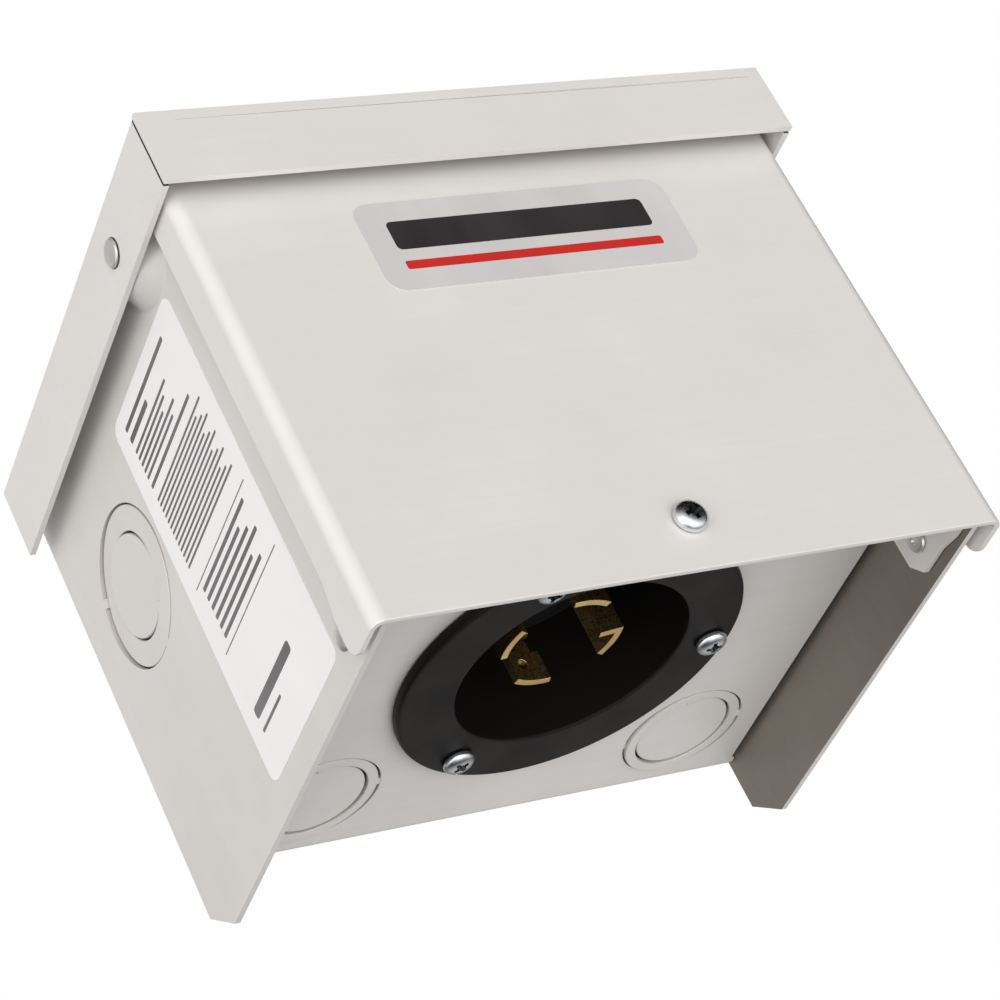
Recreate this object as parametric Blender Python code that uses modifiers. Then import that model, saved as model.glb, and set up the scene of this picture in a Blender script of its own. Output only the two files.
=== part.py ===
"""Raintight power inlet box: a folded aluminium enclosure with a flanged inlet facing down.

Frame: X is the width, -Y the front, +Y the wall, +Z up. The origin is the centre of the
back face that lies against the wall.
"""

import math

import bmesh
import bpy
from mathutils import Matrix, Vector

MM = 0.001

# Driving dimensions, in millimetres
SHEET = 1.3            # aluminium sheet
GAP = 0.3              # clearance between pieces that touch
BEND = 1.6             # outside radius of a fold
DEPTH = 112.3          # wall face to the front of the cover
COVER_W = 143.0
COVER_FLANGE = 10.4    # depth of the cover's side flanges
COVER_BEND = 2.6
FLANGE_FOOT = (2.0, 17.0, 8.0)      # extra depth at the flange's lower end, and its heights
COVER_BOTTOM = -71.0
COVER_TOP = 48.5
WALL_W = 135.4         # over the two side walls
WALL_BOTTOM = -69.2
WALL_TOP = 49.5
WALL_CHAMFER = (9.0, 7.0)   # depth and height cut off the lower back corner
HOOD_W = 147.2
HOOD_TOP = 51.2
HOOD_SKIRT = 18.7
HOOD_OVERHANG = 5.8    # hood front ahead of the cover
HOOD_BACK = -1.7
PANEL_Z = -50.9        # underside of the inlet panel
LIP_BOTTOM = -67.9     # lower edge of the lip behind the cover
EAR_BACK = -88.0
EAR_BOTTOM = -66.6
BACK_FLANGE = 12.0

RIVET_Y = -88.3        # hood rivets
RIVET_Z = 41.0
BOSS_BASE_R = 12.5
BOSS_TOP_R = 9.0
EAR_RIVET_Y = -94.6
EAR_RIVET_Z = -61.2

INLET_Y = -58.8
FLANGE_R = 38.6
FLANGE_T = 2.4
OPENING_R = 25.8
CUP_WALL = 2.4
CUP_TOP = -19.0
PANEL_HOLE_R = 28.9
INLET_SCREW_R = 33.3
FLOOR_Z = -28.5        # floor of the cup, where the blades come out
CARRIER_TOP = -9.0
BLADE_R = 13.2
BLADE_W = 9.0
BLADE_T = 1.6
BLADE_TIP = -48.4
BLADE_TURN = 10.0      # degrees from the +X axis to the first blade
NIB = 3.6              # ground blade's inward foot

COVER_SCREW = (1.8, -59.4)   # x, z of its centre
COVER_SCREW_HEAD = (3.6, 2.4)       # radius and height of each kind of head
INLET_SCREW_HEAD = (3.5, 2.1)
TERMINAL_SCREW_HEAD = (3.4, 2.0)
GROUND_SCREW_HEAD = (3.6, 2.2)
COVER_SCREW_HOLE_R = 2.6
INLET_SCREW_HOLE_R = 2.3
HOOD_RIVET_R = 2.0
EAR_RIVET_R = 1.6
RIVET_PLAY = 0.3
RIVET_HEAD_H = 1.1
MOUNT_HOLE = (45.0, 34.0, 3.0)      # x, z and radius of the back plate's holes

SIDE_KNOCKOUT = (-28.5, 2.0)       # y, z of its centre
SIDE_KNOCKOUT_R = (17.4, 11.1)
PANEL_KNOCKOUT = (44.9, -19.6)     # x, y of its centre
PANEL_KNOCKOUT_R = (14.3, 11.1)
KNOCKOUT_GROOVE = (0.5, 0.6)       # width and depth of a shear line

LUG_X = -47.0          # earth lug on the back plate
LUG_SIZE = (10.0, 9.0)
LUG_Z = (-22.0, -8.0)
LUG_WIRE_Z = -11.5
LUG_SCREW_Z = -18.5

BADGE = (73.0, 23.0, 1.7, 15.1)    # width, height, x, z
LABEL = (42.4, 90.6, -68.9, -17.2)  # depth, height, y, z
FILM = 0.25
THROUGH = 5.0          # reach of a cutter to each side of a sheet

LIP_PLAY = 0.5         # behind the cover's sheet, to the lip and the walls
BACK_PLAY = 0.4        # back plate below the walls' top edge
BACK_FLANGE_PLAY = (2.0, 1.5)       # below and above the back plate's side flanges
EAR_INSET = (0.5, 0.6, 1.5)         # ear behind the lip, above the panel's underside, above the lip's edge
EAR_FOOT = (-98.5, -91.5)           # y where the ear's lower edge starts and ends
EAR_HEEL_Z = -63.2
BOSS_WALL = 0.8        # pressed wall of the boss, measured along the radius
CUT_DEEP = 3.0         # reach of a cutter past the inside of a hollow
BOSS_TRIM = (80.0, 20.0, 10.0)      # half width, half depth and height of what trims the boss
HOOD_LAP = 0.4         # hood's folded strip into its front skirt
HOOD_FRONT_DROP = 0.15
HOOD_SLOT = (0.5, 2.2)              # extra depth into the corner, and distance below the top
RIVET_TAIL_RIM = 0.9
HOOD_RIVET_HEAD_R = 3.4
EAR_RIVET_HEAD_R = 3.0
COVER_CORNER = 3.0     # chamfer at the cover flange's lower end
FLANGE_CHAMFER = 1.0   # outer edge of the inlet's flange
MOUTH_CHAMFER = 0.6    # edge of the inlet's opening
COVER_SCREW_SHANK = (2.0, 8.3)      # radius and length of each kind of shank
INLET_SCREW_SHANK = (1.8, 9.0)
TERMINAL_SCREW_SHANK = (1.5, 2.4)
GROUND_SCREW_SHANK_R = 1.8
GROUND_SCREW_SHORT = 0.4
BLADE_TAIL = 4.0       # blade above the carrier
BLADE_PLAY = 0.35      # carrier's slot round a blade
BLADE_STEPS = 4        # facets in each half of a blade's bend
TERMINAL_X = (9.0, 18.0)            # block, measured out from the inlet's axis
TERMINAL_HALF = 4.2
TERMINAL_TOP = 8.0
TERMINAL_SLOT = (1.6, 5.5, 4.5)     # play, half length and height of the blade's slot
TERMINAL_BORE = (1.9, 2.6)          # half width and depth of the screw's square hole
LUG_WIRE_R = 2.4
LUG_BORE_R = 2.2
BADGE_CORNER = 4.0
LABEL_CORNER = 3.0

ROUND = 32             # sides of a large round
HOUSING_SIDES = 48
CARRIER_SIDES = 36
GROOVE_SIDES = 28
HOLE_SIDES = 24
SMALL_SIDES = 20
HEAD_SIDES = 16

ALUMINIUM = ((0.76, 0.75, 0.73, 1), 0.34, 1.0)
ZINC = ((0.70, 0.72, 0.74, 1), 0.25, 1.0)
BRASS = ((0.80, 0.60, 0.26, 1), 0.25, 1.0)
NYLON = ((0.018, 0.017, 0.018, 1), 0.45, 0.0)
PHENOLIC = ((0.03, 0.03, 0.032, 1), 0.55, 0.0)
GREEN = ((0.05, 0.30, 0.10, 1), 0.4, 0.6)
FILM_WHITE = ((0.85, 0.85, 0.85, 1), 0.45, 0.0)
FILM_SILVER = ((0.62, 0.62, 0.63, 1), 0.35, 0.4)


def clear_scene():
    for obj in list(bpy.data.objects):
        bpy.data.objects.remove(obj, do_unlink=True)
    parts = bpy.data.collections.new("power_inlet_box")
    cutters = bpy.data.collections.new("cutters")
    for collection in (parts, cutters):
        bpy.context.scene.collection.children.link(collection)
    return parts, cutters


PARTS, CUTTERS = clear_scene()


def finish(obj, name, look):
    """Name a part, give it its material and move it to the parts collection."""
    obj.name = name
    obj.data.name = name
    material = bpy.data.materials.new(name)
    material.use_nodes = True
    shader = material.node_tree.nodes["Principled BSDF"]
    colour, roughness, metallic = look
    shader.inputs["Base Color"].default_value = colour
    shader.inputs["Roughness"].default_value = roughness
    shader.inputs["Metallic"].default_value = metallic
    obj.data.materials.clear()
    obj.data.materials.append(material)
    if obj.type == "MESH":
        obj.data.shade_smooth()
        obj.data.set_sharp_from_angle(angle=math.radians(35))
    return obj


def link(obj, collection):
    for old in list(obj.users_collection):
        old.objects.unlink(obj)
    collection.objects.link(obj)


def as_cutter(obj):
    link(obj, CUTTERS)
    obj.hide_render = True
    obj.display_type = "WIRE"
    return obj


def boolean(obj, other, operation):
    as_cutter(other)
    modifier = obj.modifiers.new(operation.lower(), "BOOLEAN")
    modifier.operation = operation
    modifier.object = other
    modifier.solver = "EXACT"


def cut(obj, *others):
    for other in others:
        boolean(obj, other, "DIFFERENCE")


def join(obj, *others):
    for other in others:
        boolean(obj, other, "UNION")


def box(low, high):
    """Box between two corners in millimetres."""
    low, high = Vector(low) * MM, Vector(high) * MM
    bpy.ops.mesh.primitive_cube_add(size=1, location=(low + high) / 2)
    obj = bpy.context.object
    obj.scale = high - low
    bpy.ops.object.transform_apply(location=False, rotation=False, scale=True)
    link(obj, PARTS)
    return obj


TURN = {
    "X": Matrix.Rotation(math.radians(90), 4, "Y"),
    "-X": Matrix.Rotation(math.radians(-90), 4, "Y"),
    "Y": Matrix.Rotation(math.radians(-90), 4, "X"),
    "-Y": Matrix.Rotation(math.radians(90), 4, "X"),
    "Z": Matrix.Identity(4),
    "-Z": Matrix.Rotation(math.radians(180), 4, "X"),
}


def place(obj, centre, axis):
    """Put the object's local origin at centre with its local +Z along axis."""
    obj.matrix_world = Matrix.Translation(Vector(centre) * MM) @ TURN[axis]
    return obj


def cylinder(radius, low, high, centre, axis="Z", sides=ROUND):
    """Cylinder round the axis, from low to high along it, measured from centre."""
    mesh = bpy.data.meshes.new("cylinder")
    shape = bmesh.new()
    bmesh.ops.create_cone(
        shape, cap_ends=True, segments=sides, radius1=radius * MM, radius2=radius * MM,
        depth=(high - low) * MM,
    )
    bmesh.ops.translate(shape, verts=shape.verts, vec=(0, 0, (low + high) / 2 * MM))
    shape.to_mesh(mesh)
    shape.free()
    obj = bpy.data.objects.new("cylinder", mesh)
    PARTS.objects.link(obj)
    return place(obj, centre, axis)


def turned(profile, centre, axis="Z", sides=ROUND):
    """Turned solid: (radius, height) points run down the outside, top to bottom, and close."""
    mesh = bpy.data.meshes.new("turned")
    shape = bmesh.new()
    points = [shape.verts.new((radius * MM, 0, height * MM)) for radius, height in profile]
    for first, second in zip(points, points[1:]):
        shape.edges.new((first, second))
    if profile[0][0] > 0:
        shape.edges.new((points[-1], points[0]))
    shape.to_mesh(mesh)
    shape.free()
    obj = bpy.data.objects.new("turned", mesh)
    PARTS.objects.link(obj)
    screw = obj.modifiers.new("turn", "SCREW")
    screw.axis = "Z"
    screw.steps = sides
    screw.render_steps = sides
    screw.use_merge_vertices = True
    screw.merge_threshold = 0.00001
    return place(obj, centre, axis)


def ring_cutter(radius, width, depth, centre, axis):
    """Cuts an annular groove whose outer radius is given, open towards +axis."""
    inner = radius - width
    return turned([(inner, 1), (radius, 1), (radius, -depth), (inner, -depth)], centre, axis, GROOVE_SIDES)


def outline_solid(points, low, high, frame):
    """Flat outline, filled, from low to high along its normal. frame maps (u, v, w) to world."""
    curve = bpy.data.curves.new("outline", "CURVE")
    curve.dimensions = "2D"
    curve.fill_mode = "BOTH"
    curve.extrude = (high - low) / 2 * MM
    spline = curve.splines.new("POLY")
    spline.points.add(len(points) - 1)
    for point, (u, v) in zip(spline.points, points):
        point.co = (u * MM, v * MM, 0, 1)
    spline.use_cyclic_u = True
    source = bpy.data.objects.new("outline", curve)
    PARTS.objects.link(source)
    source.matrix_world = frame @ Matrix.Translation((0, 0, (low + high) / 2 * MM))
    bpy.context.view_layer.update()
    evaluated = source.evaluated_get(bpy.context.evaluated_depsgraph_get())
    mesh = bpy.data.meshes.new_from_object(evaluated)
    shape = bmesh.new()
    shape.from_mesh(mesh)
    bmesh.ops.remove_doubles(shape, verts=shape.verts, dist=0.000001)
    bmesh.ops.recalc_face_normals(shape, faces=shape.faces)
    shape.to_mesh(mesh)
    shape.free()
    obj = bpy.data.objects.new("solid", mesh)
    obj.matrix_world = source.matrix_world.copy()
    PARTS.objects.link(obj)
    bpy.data.objects.remove(source, do_unlink=True)
    return obj


# Local (u, v, w) axes of an outline's plane, in world directions
PLANE_YZ = Matrix(((0, 0, 1, 0), (1, 0, 0, 0), (0, 1, 0, 0), (0, 0, 0, 1)))
PLANE_XZ = Matrix(((1, 0, 0, 0), (0, 0, -1, 0), (0, 1, 0, 0), (0, 0, 0, 1)))
PLANE_XY = Matrix.Identity(4)


def folded_strip(path, thickness, bend):
    """Outline of a sheet folded along path. The path is its left face; thickness goes right."""
    points = [Vector(point) for point in path]

    def offset(side, radius):
        result = []
        for index, point in enumerate(points):
            before = (point - points[index - 1]).normalized() if index else None
            after = (points[index + 1] - point).normalized() if index + 1 < len(points) else None
            if before is None or after is None:
                along = after or before
                result.append(point + Vector((along.y, -along.x)) * side)
                continue
            turn = before.x * after.y - before.y * after.x
            first = Vector((before.y, -before.x))
            second = Vector((after.y, -after.x))
            outer = radius if turn < 0 else radius - thickness
            bend_radius = outer - side if turn < 0 else outer + side
            centre_side = side + bend_radius if turn < 0 else side - bend_radius
            centre = point + (first + second) * centre_side
            for step in range(4):
                angle = step / 3
                spoke = first.slerp(second, angle) * -1 if turn < 0 else first.slerp(second, angle)
                result.append(centre + spoke * bend_radius)
        return result

    left = offset(0, bend)
    right = offset(thickness, bend)
    return [tuple(point) for point in left + right[::-1]]


def pan_screw(name, centre, axis, head, shank_r, length, look):
    """Pan-head cross-recess screw. Its local +Z runs out of the head, from under the head."""
    head_r, head_h = head
    rim = head_h * 0.45
    profile = [
        (0, head_h), (head_r * 0.62, head_h * 0.93), (head_r * 0.9, head_h * 0.72),
        (head_r, rim), (head_r, 0), (shank_r, 0), (shank_r, -length + 0.6),
        (shank_r - 0.5, -length), (0, -length),
    ]
    screw = turned(profile, centre, axis, HEAD_SIDES)
    arm, half = head_r * 0.52, head_r * 0.11
    across = box((-arm, -half, head_h * 0.45), (arm, half, head_h + 1))
    along = box((-half, -arm, head_h * 0.45), (half, arm, head_h + 1))
    for cutter in (across, along):
        cutter.matrix_world = screw.matrix_world @ cutter.matrix_world
    cut(screw, across, along)
    return finish(screw, name, look)


def chassis():
    """Back plate, inlet panel and front lip folded from one sheet."""
    half = WALL_W / 2 - SHEET - GAP
    ear_in, ear_up, ear_over = EAR_INSET
    ear_front, ear_heel = EAR_FOOT
    flange_low, flange_high = BACK_FLANGE_PLAY
    front = -DEPTH + SHEET + LIP_PLAY
    lip = front + SHEET
    path = [(0, WALL_TOP - BACK_PLAY), (0, PANEL_Z), (lip, PANEL_Z), (lip, LIP_BOTTOM)]
    body = outline_solid(folded_strip(path, SHEET, BEND), -half, half, PLANE_YZ)
    for side in (-1, 1):
        inner, outer = sorted((side * (half - SHEET), side * half))
        ear_outline = [
            (front + ear_in, PANEL_Z + ear_up), (front + ear_in, LIP_BOTTOM + ear_over),
            (ear_front, EAR_BOTTOM), (ear_heel, EAR_BOTTOM), (EAR_BACK, EAR_HEEL_Z),
            (EAR_BACK, PANEL_Z + ear_up),
        ]
        ear = outline_solid(ear_outline, inner, outer, PLANE_YZ)
        back_flange = box(
            (inner, -BACK_FLANGE, PANEL_Z + flange_low), (outer, -SHEET / 2, WALL_TOP - flange_high)
        )
        join(body, ear, back_flange)
        rivet_hole = (side * half, EAR_RIVET_Y, EAR_RIVET_Z)
        cut(body, cylinder(EAR_RIVET_R + RIVET_PLAY, -THROUGH, THROUGH, rivet_hole, "X", HOLE_SIDES))
    cut(body, cylinder(PANEL_HOLE_R, -THROUGH, THROUGH, (0, INLET_Y, PANEL_Z)))
    for x, y in inlet_screw_places():
        cut(body, cylinder(INLET_SCREW_HOLE_R, -THROUGH, THROUGH, (x, y, PANEL_Z), "Z", SMALL_SIDES))
    for side in (-1, 1):
        centre = (side * PANEL_KNOCKOUT[0], PANEL_KNOCKOUT[1], PANEL_Z)
        for radius in PANEL_KNOCKOUT_R:
            cut(body, ring_cutter(radius, *KNOCKOUT_GROOVE, centre, "-Z"))
    hole_x, hole_z, hole_r = MOUNT_HOLE
    for x in (-hole_x, hole_x):
        for z in (-hole_z, hole_z):
            cut(body, cylinder(hole_r, -THROUGH, THROUGH, (x, 0, z), "Y", SMALL_SIDES))
    screw_x, screw_z = COVER_SCREW
    lip_hole = (screw_x, front, screw_z)
    cut(body, cylinder(COVER_SCREW_HOLE_R, -THROUGH, THROUGH, lip_hole, "Y", HOLE_SIDES))
    return finish(body, "chassis", ALUMINIUM)


def inlet_screw_places():
    for index in range(3):
        angle = math.radians(120 * index)
        yield INLET_SCREW_R * math.cos(angle), INLET_Y + INLET_SCREW_R * math.sin(angle)


def side_wall(name, side):
    """Side wall with its hood boss pressed outwards, knockouts and a cut corner."""
    outer = WALL_W / 2
    inner = outer - SHEET
    cut_y, cut_z = WALL_CHAMFER
    front = -DEPTH + SHEET + LIP_PLAY
    outline = [
        (front, WALL_BOTTOM), (-cut_y, WALL_BOTTOM), (0, WALL_BOTTOM + cut_z),
        (0, WALL_TOP), (front, WALL_TOP),
    ]
    low, high = sorted((side * inner, side * outer))
    wall = outline_solid(outline, low, high, PLANE_YZ)
    axis = "X" if side > 0 else "-X"
    rise = HOOD_W / 2 - SHEET - GAP - outer
    foot = -SHEET / 2
    boss = turned(
        [(0, rise), (BOSS_TOP_R, rise), (BOSS_BASE_R, 0), (BOSS_BASE_R, foot), (0, foot)],
        (side * outer, RIVET_Y, RIVET_Z), axis,
    )
    hollow = turned(
        [(0, rise - SHEET), (BOSS_TOP_R - BOSS_WALL, rise - SHEET), (BOSS_BASE_R - BOSS_WALL, -SHEET),
         (BOSS_BASE_R - BOSS_WALL, -CUT_DEEP), (0, -CUT_DEEP)],
        (side * outer, RIVET_Y, RIVET_Z), axis,
    )
    join(wall, boss)
    cut(wall, hollow)
    trim_x, trim_y, trim_z = BOSS_TRIM
    cut(wall, box((-trim_x, RIVET_Y - trim_y, WALL_TOP), (trim_x, RIVET_Y + trim_y, WALL_TOP + trim_z)))
    hood_hole = (side * outer, RIVET_Y, RIVET_Z)
    ear_hole = (side * outer, EAR_RIVET_Y, EAR_RIVET_Z)
    cut(wall, cylinder(HOOD_RIVET_R + RIVET_PLAY, -THROUGH, THROUGH, hood_hole, axis, HOLE_SIDES))
    cut(wall, cylinder(EAR_RIVET_R + RIVET_PLAY, -THROUGH, THROUGH, ear_hole, axis, HOLE_SIDES))
    centre = (side * outer, *SIDE_KNOCKOUT)
    for radius in SIDE_KNOCKOUT_R:
        cut(wall, ring_cutter(radius, *KNOCKOUT_GROOVE, centre, axis))
    return finish(wall, name, ALUMINIUM)


def hood():
    """Rain hood: top and side skirts from one folded strip, and a front skirt."""
    half = HOOD_W / 2
    front = -DEPTH - HOOD_OVERHANG
    skirt = HOOD_TOP - HOOD_SKIRT
    path = [(-half, skirt), (-half, HOOD_TOP), (half, HOOD_TOP), (half, skirt)]
    strip = outline_solid(
        folded_strip(path, SHEET, BEND), -HOOD_BACK, -front - SHEET + HOOD_LAP, PLANE_XZ
    )
    join(strip, box((-half, front, skirt), (half, front + SHEET, HOOD_TOP - HOOD_FRONT_DROP)))
    for side in (-1, 1):
        slot_in, slot_down = HOOD_SLOT
        low, high = sorted((side * (half - SHEET - slot_in), side * (half + 1)))
        slot = box(
            (low, front + SHEET, skirt - 1), (high, front + SHEET + GAP, HOOD_TOP - slot_down)
        )
        cut(strip, slot)
        hole = (side * half, RIVET_Y, RIVET_Z)
        cut(strip, cylinder(HOOD_RIVET_R + RIVET_PLAY, -THROUGH, THROUGH, hole, "X", HOLE_SIDES))
    return finish(strip, "hood", ALUMINIUM)


def rivet(name, side, centre, shank_r, head_r):
    """Rivet through two sheets: outer head at centre, upset tail inside."""
    axis = "X" if side > 0 else "-X"
    grip = 2 * SHEET + GAP
    head_h = RIVET_HEAD_H
    tail = -grip - head_h
    profile = [
        (0, head_h), (head_r * 0.8, head_h * 0.8), (head_r, GAP), (shank_r, GAP),
        (shank_r, -grip - GAP), (shank_r + RIVET_TAIL_RIM, -grip - GAP),
        (shank_r + RIVET_TAIL_RIM, tail), (0, tail),
    ]
    return finish(turned(profile, centre, axis, HEAD_SIDES), name, ALUMINIUM)


def front_cover():
    """Front cover: a channel that hangs inside the hood and is held by one screw."""
    half = COVER_W / 2
    back = -DEPTH + COVER_FLANGE
    foot = back + FLANGE_FOOT[0]
    path = [(half, foot), (half, -DEPTH), (-half, -DEPTH), (-half, foot)]
    outline = folded_strip(path, SHEET, COVER_BEND)
    cover = outline_solid(outline, COVER_BOTTOM, COVER_TOP, PLANE_XY)
    beyond = foot + 1.0
    trimming = [
        (beyond, COVER_TOP + 1), (back, COVER_TOP + 1), (back, COVER_BOTTOM + FLANGE_FOOT[1]),
        (foot, COVER_BOTTOM + FLANGE_FOOT[2]), (foot, COVER_BOTTOM + COVER_CORNER),
        (foot - COVER_CORNER, COVER_BOTTOM), (foot - COVER_CORNER, COVER_BOTTOM - 1),
        (beyond, COVER_BOTTOM - 1),
    ]
    cut(cover, outline_solid(trimming, -half - 1, half + 1, PLANE_YZ))
    screw_x, screw_z = COVER_SCREW
    screw_hole = (screw_x, -DEPTH, screw_z)
    cut(cover, cylinder(COVER_SCREW_HOLE_R, -THROUGH, THROUGH, screw_hole, "Y", HOLE_SIDES))
    return finish(cover, "front_cover", ALUMINIUM)


def inlet():
    """Flanged inlet: moulded flange and cup, contact carrier, blades and terminals."""
    top = PANEL_Z - GAP
    face = top - FLANGE_T
    cup_r = OPENING_R + CUP_WALL
    profile = [
        (OPENING_R, CUP_TOP), (cup_r, CUP_TOP), (cup_r, top), (FLANGE_R, top),
        (FLANGE_R, face + FLANGE_CHAMFER), (FLANGE_R - FLANGE_CHAMFER, face),
        (OPENING_R + MOUTH_CHAMFER, face), (OPENING_R, face + MOUTH_CHAMFER),
    ]
    housing = turned(profile, (0, INLET_Y, 0), "Z", HOUSING_SIDES)
    for x, y in inlet_screw_places():
        cut(housing, cylinder(INLET_SCREW_HOLE_R, -THROUGH, THROUGH, (x, y, face), "Z", SMALL_SIDES))
    finish(housing, "inlet_housing", NYLON)
    for index, (x, y) in enumerate(inlet_screw_places()):
        name = f"inlet_screw_{index + 1}"
        pan_screw(name, (x, y, face - GAP), "-Z", INLET_SCREW_HEAD, *INLET_SCREW_SHANK, ZINC)

    carrier = cylinder(OPENING_R - GAP, FLOOR_Z, CARRIER_TOP, (0, INLET_Y, 0), "Z", CARRIER_SIDES)
    names = ("blade_hot_x", "blade_neutral", "blade_hot_y", "blade_ground")
    for index, name in enumerate(names):
        angle = BLADE_TURN + 90 * (index + 1)
        nib = NIB if name == "blade_ground" else 0
        blade = blade_solid(angle, 0, nib, BLADE_TIP, CARRIER_TOP + BLADE_TAIL)
        cut(carrier, blade_solid(angle, BLADE_PLAY, nib, FLOOR_Z - CUT_DEEP, CARRIER_TOP + CUT_DEEP))
        finish(blade, name, BRASS)
        terminal(name.split("_", 1)[1], angle)
    finish(carrier, "contact_carrier", PHENOLIC)


def blade_solid(angle, margin, nib, low, high):
    """Blade bent to the contact circle, with a foot at one side on the ground blade."""
    middle = math.radians(angle)
    inner = BLADE_R - BLADE_T / 2 - margin
    outer = BLADE_R + BLADE_T / 2 + margin
    spread = (BLADE_W / 2 + margin) / BLADE_R
    steps = [middle + spread * (step / BLADE_STEPS - 1) for step in range(2 * BLADE_STEPS + 1)]

    def arc(radius, angles):
        return [(radius * math.cos(a), radius * math.sin(a)) for a in angles]

    points = arc(outer, steps)
    inside = arc(inner, steps[::-1])
    if nib:
        foot = inner - nib
        across = BLADE_T + 2 * margin
        kept = [a for a in steps[::-1] if a > steps[0] + across / inner + 0.02]
        inside = arc(inner, kept + [steps[0] + across / inner])
        inside += arc(foot, [steps[0] + across / foot, steps[0]])
    frame = Matrix.Translation((0, INLET_Y * MM, 0))
    return outline_solid(points + inside, low, high, frame)


def terminal(name, angle):
    """Clamp block on the blade's inner end, and its screw."""
    middle = math.radians(angle)
    turn = Matrix.Rotation(middle, 4, "Z")
    low, high = CARRIER_TOP + GAP, CARRIER_TOP + TERMINAL_TOP
    near, far = TERMINAL_X
    play, reach, rise = TERMINAL_SLOT
    bore, deep = TERMINAL_BORE
    block = box((near, -TERMINAL_HALF, low), (far, TERMINAL_HALF, high))
    inner = BLADE_R - play - (NIB + 1.0 if name == "ground" else 0)
    slot = box((inner, -reach, low - 1), (BLADE_R + play, reach, low + rise))
    hole = box((BLADE_R - bore, -bore, high - deep), (BLADE_R + bore, bore, high + 1))
    frame = Matrix.Translation((0, INLET_Y * MM, 0)) @ turn
    for piece in (block, slot, hole):
        piece.matrix_world = frame @ piece.matrix_world
    cut(block, slot, hole)
    finish(block, f"terminal_{name}", BRASS)
    centre = (BLADE_R * math.cos(middle), INLET_Y + BLADE_R * math.sin(middle), high + GAP)
    look = GREEN if name == "ground" else ZINC
    pan_screw(f"terminal_screw_{name}", centre, "Z", TERMINAL_SCREW_HEAD, *TERMINAL_SCREW_SHANK, look)


def ground_bond():
    """Lug and screw that bond the box to earth, on the inside of the back plate."""
    x, width, depth = LUG_X, LUG_SIZE[0], LUG_SIZE[1]
    back = -SHEET - GAP
    front = back - depth
    lug = box((x - width / 2, front, LUG_Z[0]), (x + width / 2, back, LUG_Z[1]))
    wire_hole = (x, (front + back) / 2, LUG_WIRE_Z)
    cut(lug, cylinder(LUG_WIRE_R, -width, width, wire_hole, "X", SMALL_SIDES))
    screw_hole = (x, back, LUG_SCREW_Z)
    cut(lug, cylinder(LUG_BORE_R, -depth - 1, depth + 1, screw_hole, "Y", SMALL_SIDES))
    finish(lug, "ground_lug", ALUMINIUM)
    head_at = (x, front - GAP, LUG_SCREW_Z)
    length = depth - GROUND_SCREW_SHORT
    pan_screw("ground_screw", head_at, "-Y", GROUND_SCREW_HEAD, GROUND_SCREW_SHANK_R, length, GREEN)


def films():
    """Front badge and side rating label, thin adhesive films."""
    width, height, x, z = BADGE
    y = -DEPTH - GAP
    badge = box((x - width / 2, y - FILM, z - height / 2), (x + width / 2, y, z + height / 2))
    round_corners(badge, "Y", BADGE_CORNER)
    finish(badge, "front_badge", FILM_SILVER)
    depth, height, y, z = LABEL
    x = -WALL_W / 2 - GAP
    label = box((x - FILM, y - depth / 2, z - height / 2), (x, y + depth / 2, z + height / 2))
    round_corners(label, "X", LABEL_CORNER)
    finish(label, "side_label", FILM_WHITE)


def round_corners(obj, axis, radius):
    """Round the four edges of a box that run along axis."""
    index = "XYZ".index(axis)
    layer = obj.data.attributes.new("bevel_weight_edge", "FLOAT", "EDGE")
    for edge in obj.data.edges:
        first, second = (obj.data.vertices[v].co for v in edge.vertices)
        along = abs(first[index] - second[index]) > 0.9 * (first - second).length
        layer.data[edge.index].value = 1.0 if along else 0.0
    bevel = obj.modifiers.new("corners", "BEVEL")
    bevel.limit_method = "WEIGHT"
    bevel.width = radius * MM
    bevel.segments = 4


def hang_on_hinge(pieces):
    """Parent the cover's pieces to an empty on the line that the cover swings about."""
    hinge = bpy.data.objects.new("cover_hinge", None)
    hinge.location = Vector((0, -DEPTH, COVER_TOP)) * MM
    PARTS.objects.link(hinge)
    bpy.context.view_layer.update()
    for name in pieces:
        piece = bpy.data.objects[name]
        piece.parent = hinge
        piece.matrix_parent_inverse = hinge.matrix_world.inverted()


def main():
    chassis()
    side_wall("side_wall_left", -1)
    side_wall("side_wall_right", 1)
    hood()
    for name, side in (("left", -1), ("right", 1)):
        hood_spot = (side * HOOD_W / 2, RIVET_Y, RIVET_Z)
        ear_spot = (side * WALL_W / 2, EAR_RIVET_Y, EAR_RIVET_Z)
        rivet(f"hood_rivet_{name}", side, hood_spot, HOOD_RIVET_R, HOOD_RIVET_HEAD_R)
        rivet(f"ear_rivet_{name}", side, ear_spot, EAR_RIVET_R, EAR_RIVET_HEAD_R)
    front_cover()
    screw_at = (COVER_SCREW[0], -DEPTH - GAP, COVER_SCREW[1])
    pan_screw("cover_screw", screw_at, "-Y", COVER_SCREW_HEAD, *COVER_SCREW_SHANK, ZINC)
    inlet()
    ground_bond()
    films()
    hang_on_hinge(("front_cover", "cover_screw", "front_badge"))


main()
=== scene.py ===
"""Looks of a raintight power inlet box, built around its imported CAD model.

Lengths are millimetres unless a name says otherwise. X is the width, -Y the front, +Z up.
"""

import math

import bmesh
import bpy
from mathutils import Matrix, Vector


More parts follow.
